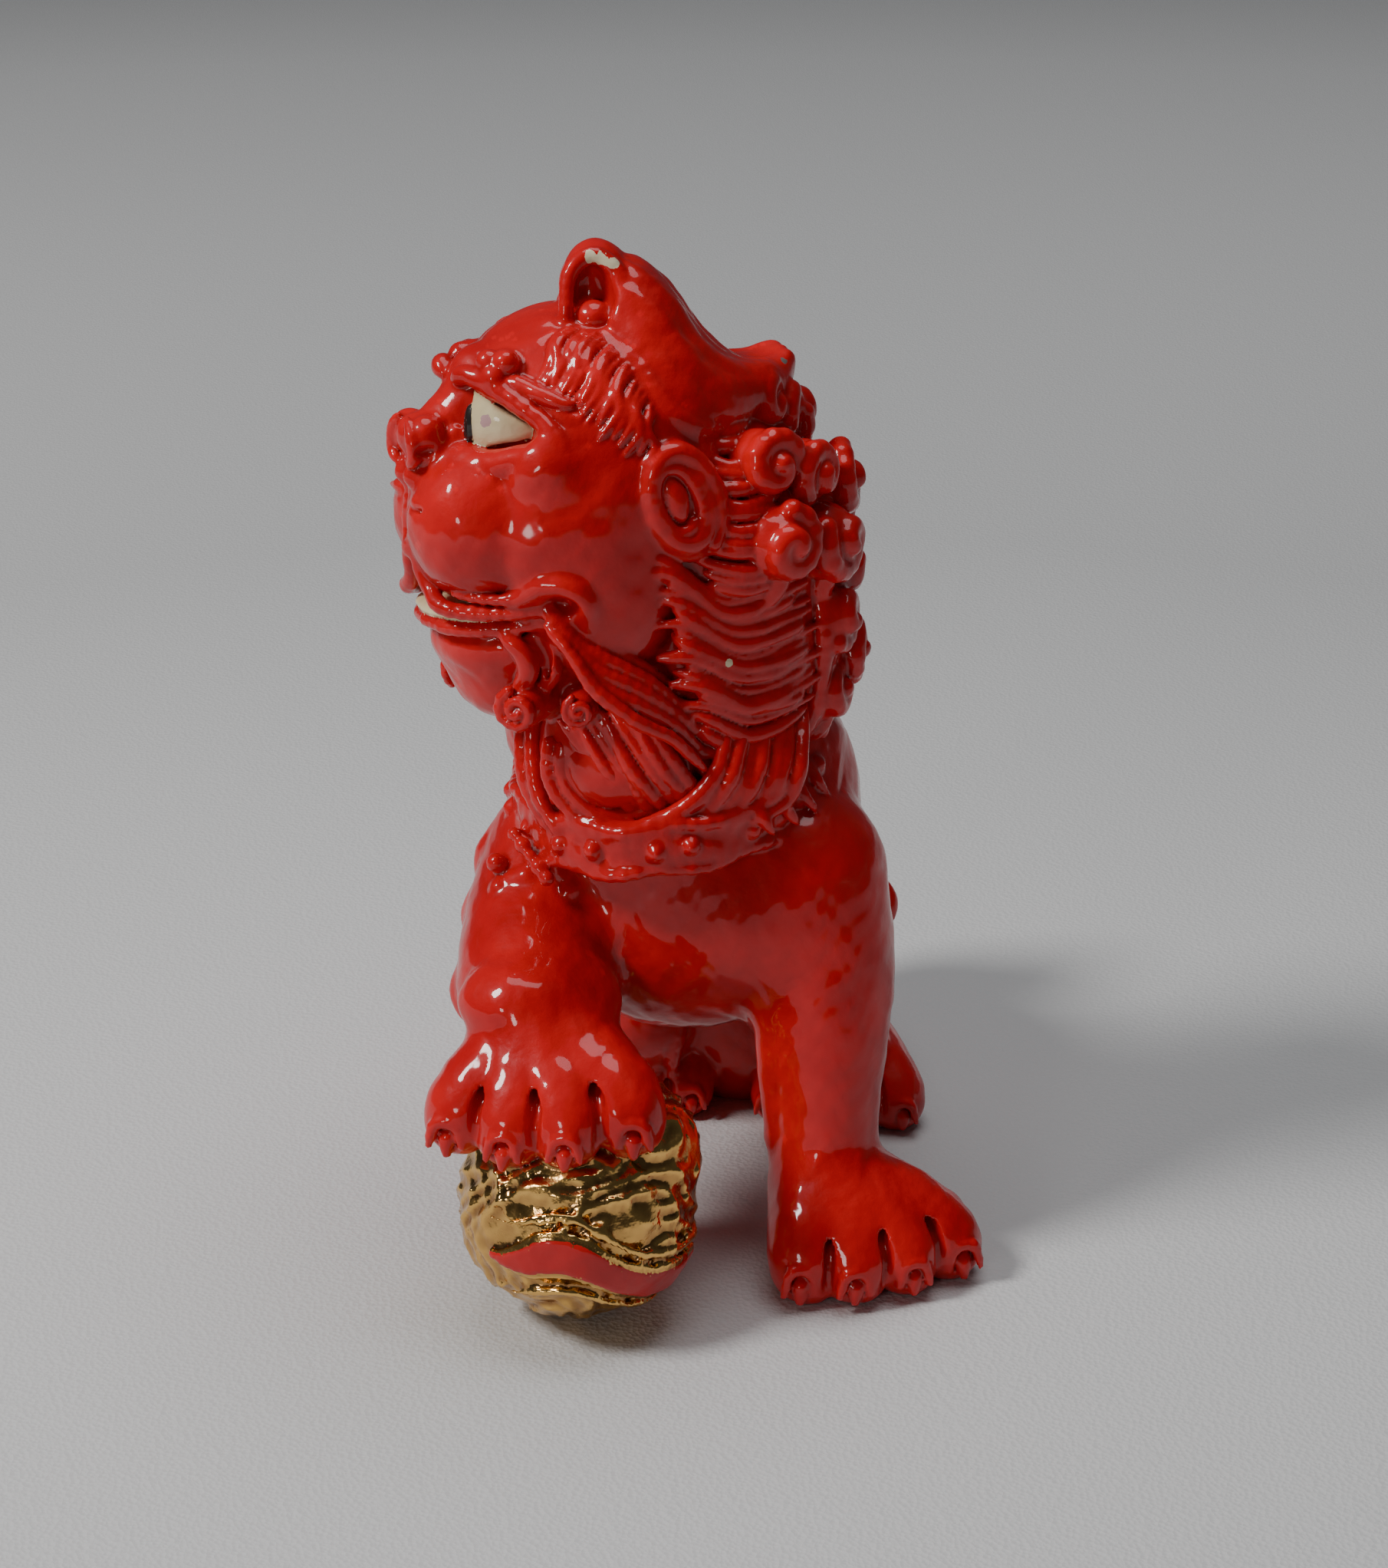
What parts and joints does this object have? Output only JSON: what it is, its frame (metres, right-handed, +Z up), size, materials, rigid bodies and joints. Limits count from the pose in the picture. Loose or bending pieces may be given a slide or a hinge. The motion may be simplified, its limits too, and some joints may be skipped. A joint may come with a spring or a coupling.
{
  "type": "guardian lion statue",
  "caption": "Small seated guardian lion statue in glossy red lacquer, its head turned to one side and a forepaw resting on a gold ball.",
  "frame": {"origin": "centre of the bounding box's lower face, on the surface that the statue stands on", "axes": "+Z up, +X the lion's left side, the lion faces -Y"},
  "size_m": [0.0824, 0.1153, 0.1361],
  "materials": {
    "red_lacquer": "thick high-gloss red paint over cast resin",
    "gold_leaf": "crinkled metallic gold paint with dark veins",
    "ribbon_red": "glossy red paint edged with gold",
    "cream_paint": "glossy cream paint",
    "black_paint": "glossy black paint"
  },
  "bodies": {
    "root": {"torso": "red_lacquer", "foreleg_left": "red_lacquer", "forepaw_left": "red_lacquer", "foreleg_right": "red_lacquer", "forepaw_right": "red_lacquer", "thigh_left": "red_lacquer", "hindpaw_left": "red_lacquer", "thigh_right": "red_lacquer", "hindpaw_right": "red_lacquer", "foreleg_right_curls": "red_lacquer", "foreleg_left_curls": "red_lacquer", "tail": "red_lacquer", "tail_curls": "red_lacquer", "collar_band": "red_lacquer", "collar_studs": "red_lacquer", "collar_ribbon": "red_lacquer", "bell": "red_lacquer", "bell_cradle": "red_lacquer", "skull": "red_lacquer", "muzzle": "red_lacquer", "nose": "red_lacquer", "lower_jaw": "red_lacquer", "brow_left": "red_lacquer", "brow_right": "red_lacquer", "ear_left": "red_lacquer", "ear_right": "red_lacquer", "horn_bead": "red_lacquer", "horn": "red_lacquer", "mane": "red_lacquer", "mane_curls": "red_lacquer", "cheek_locks_left": "red_lacquer", "cheek_locks_right": "red_lacquer", "whisker_left": "red_lacquer", "whisker_right": "red_lacquer", "beard_curls": "red_lacquer", "forepaw_left_claws": "red_lacquer", "forepaw_right_claws": "red_lacquer", "hindpaw_left_claws": "red_lacquer", "hindpaw_right_claws": "red_lacquer", "ball": "gold_leaf", "ball_ribbon": "ribbon_red", "eye_left": "cream_paint", "eye_right": "cream_paint", "teeth": "cream_paint", "pupil_left": "black_paint", "pupil_right": "black_paint"}
  },
  "joints": []
}
